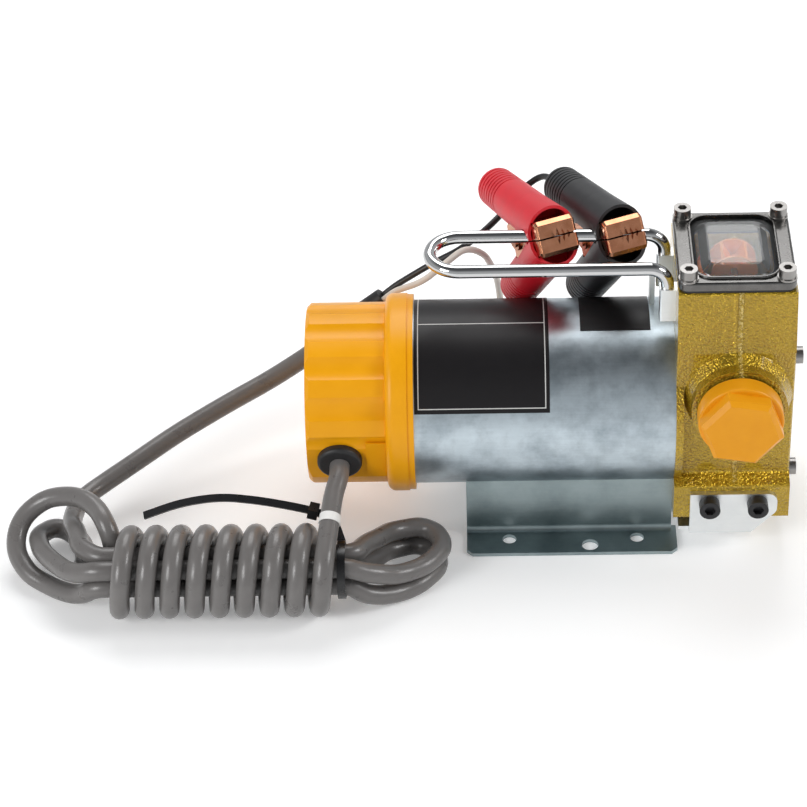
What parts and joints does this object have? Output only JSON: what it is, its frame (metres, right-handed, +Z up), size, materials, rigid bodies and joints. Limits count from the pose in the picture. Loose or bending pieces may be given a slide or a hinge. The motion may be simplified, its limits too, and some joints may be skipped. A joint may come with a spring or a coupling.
{
  "type": "electric fuel transfer pump",
  "caption": "Portable electric vane pump with a foot bracket, a sight window with a flow wheel, a carrying handle, and a tied hank of cable ending in two battery clips.",
  "frame": {"origin": "on the floor under the motor axis, midway between the four foot holes", "axes": "+Z up, +X along the motor axis towards the pump, -Y towards the plugged port and the cable"},
  "size_m": [0.3999, 0.2077, 0.1681],
  "materials": {
    "zinc": "zinc plated, softly reflective",
    "yellow": "moulded, satin gloss",
    "black_rubber": "soft, matt",
    "paint": "gold hammered paint",
    "chrome": "bright plated",
    "nickel": "bright plated sheet",
    "steel": "plain steel",
    "black_steel": "black oxide",
    "label": "printed film, satin",
    "red_grip": "soft moulded",
    "black_grip": "soft moulded",
    "copper": "copper plated",
    "copper_wire": "enamelled wire",
    "magnet": "sintered",
    "iron": "laminated",
    "carbon": "pressed carbon",
    "clear": "clear moulded",
    "plug_plastic": "moulded, satin",
    "orange": "moulded",
    "cable": "matt sheath",
    "white_core": "soft sheath",
    "black_core": "soft sheath",
    "white_mark": "smooth",
    "tie": "nylon",
    "cast": "cast",
    "seal": "nitrile",
    "brass": "turned"
  },
  "bodies": {
    "base": {"bearing_front": "steel", "bearing_rear": "steel", "black_clip_upper_grip": "black_grip", "black_clip_upper_jaw": "copper", "brush_boxes": "brass", "brushes": "carbon", "bypass_cap": "brass", "bypass_spring": "steel", "cable_boot": "black_rubber", "cable_grommet": "black_rubber", "cable_hank": "cable", "cable_lead": "cable", "cable_marker": "white_mark", "cable_tail": "cable", "cable_tie": "tie", "carry_handle": "chrome", "clip_rivets": "copper", "clip_springs": "steel", "core_black": "black_core", "core_white": "white_core", "cover_screws": "zinc", "cover_seal": "seal", "end_cap": "yellow", "end_cover": "paint", "end_shield": "cast", "field_magnets": "magnet", "foot_bracket": "zinc", "foot_plate": "zinc", "foot_screws": "black_steel", "frame_screws": "black_steel", "frame_washers": "zinc", "handle_bracket": "nickel", "motor_bolts": "steel", "motor_label": "label", "motor_tube": "zinc", "plug_gasket": "seal", "pump_body": "paint", "red_clip_lower_grip": "red_grip", "red_clip_lower_jaw": "copper", "shaft_seal": "seal", "sight_window": "clear", "strainer": "steel", "tube_sticker": "label", "wheel_axle": "steel", "window_frame": "nickel", "window_gasket": "seal"},
    "rotor": {"motor_shaft": "steel", "armature_core": "iron", "windings": "copper_wire", "commutator": "copper", "vane_rotor": "steel", "vanes": "carbon"},
    "flow_wheel": {"flow_wheel": "orange"},
    "bypass_poppet": {"bypass_poppet": "brass"},
    "port_plug": {"port_plug": "plug_plastic"},
    "red_jaw": {"red_clip_upper_jaw": "copper", "red_clip_upper_grip": "red_grip"},
    "black_jaw": {"black_clip_lower_jaw": "copper", "black_clip_lower_grip": "black_grip"}
  },
  "joints": [
    {"name": "rotor_spin", "type": "hinge", "parent": "base", "child": "rotor", "pos_m": [0.05025, 0, 0.067], "axis": [1, 0, 0], "continuous": true},
    {"name": "flow_wheel_spin", "type": "hinge", "parent": "base", "child": "flow_wheel", "pos_m": [0.07905, 0, 0.1403], "axis": [0, 1, 0], "continuous": true},
    {"name": "bypass_slide", "type": "slide", "parent": "base", "child": "bypass_poppet", "axis": [0, 0, -1], "range_m": [0, 0.004], "stiffness_N_per_m": 2000, "springref_m": -0.002, "deforming": ["bypass_spring"]},
    {"name": "port_plug_out", "type": "slide", "parent": "base", "child": "port_plug", "axis": [0, -1, 0], "range_m": [0, 0.012]},
    {"name": "red_jaw_open", "type": "hinge", "parent": "base", "child": "red_jaw", "pos_m": [-0.01853, 0.03346, 0.13868], "axis": [-0.9182, -0.396, -0.0046], "range_deg": [0, 16], "stiffness_Nm_per_rad": 1.5, "springref_deg": -17.19},
    {"name": "black_jaw_open", "type": "hinge", "parent": "base", "child": "black_jaw", "pos_m": [0.01507, 0.03346, 0.13868], "axis": [0.9182, 0.396, 0.0046], "range_deg": [0, 16], "stiffness_Nm_per_rad": 1.5, "springref_deg": -17.19}
  ]
}
